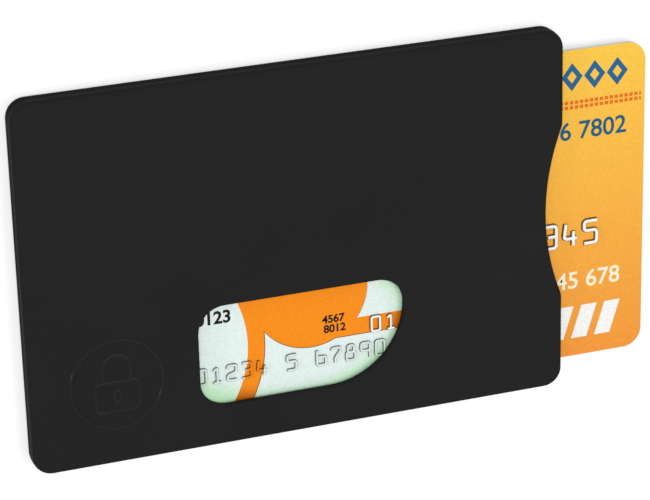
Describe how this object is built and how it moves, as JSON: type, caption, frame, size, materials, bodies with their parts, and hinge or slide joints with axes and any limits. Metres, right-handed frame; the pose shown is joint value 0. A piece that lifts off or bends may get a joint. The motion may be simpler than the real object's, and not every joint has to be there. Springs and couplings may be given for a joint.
{
  "type": "rfid card sleeve",
  "caption": "Flat hard-shell sleeve with a welded seam, thumb window and mouth notch, metal shields inside, and a contactless card that slides out.",
  "frame": {"origin": "centre of the sleeve's flat back face", "axes": "+Z out of the front face, +X out of the mouth along the card's travel, +Y towards the card's top edge"},
  "size_m": [0.106, 0.0626, 0.0041],
  "materials": {
    "black_plastic": "satin black ABS with a fine mould texture",
    "shield_metal": "rolled aluminium sheet",
    "card_white": "plain white card stock, cut edge",
    "card_print": "gloss laminate over orange print",
    "card_back": "gloss laminate over a pale print",
    "contact_gold": "gold-plated contacts",
    "antenna_copper": "etched copper",
    "stripe_black": "dark magnetic tape",
    "panel_white": "matte writable coating"
  },
  "bodies": {
    "sleeve": {"back_shell": "black_plastic", "front_shell": "black_plastic", "back_shield": "shield_metal", "front_shield": "shield_metal"},
    "card": {"card_core": "card_white", "card_front_sheet": "card_print", "card_back_sheet": "card_back", "chip_module": "contact_gold", "antenna_coil": "antenna_copper", "magnetic_stripe": "stripe_black", "signature_panel": "panel_white"}
  },
  "joints": [
    {"name": "card_slide", "type": "slide", "parent": "sleeve", "child": "card", "axis": [1, 0, 0], "range_m": [-0.017, 0.072]}
  ]
}
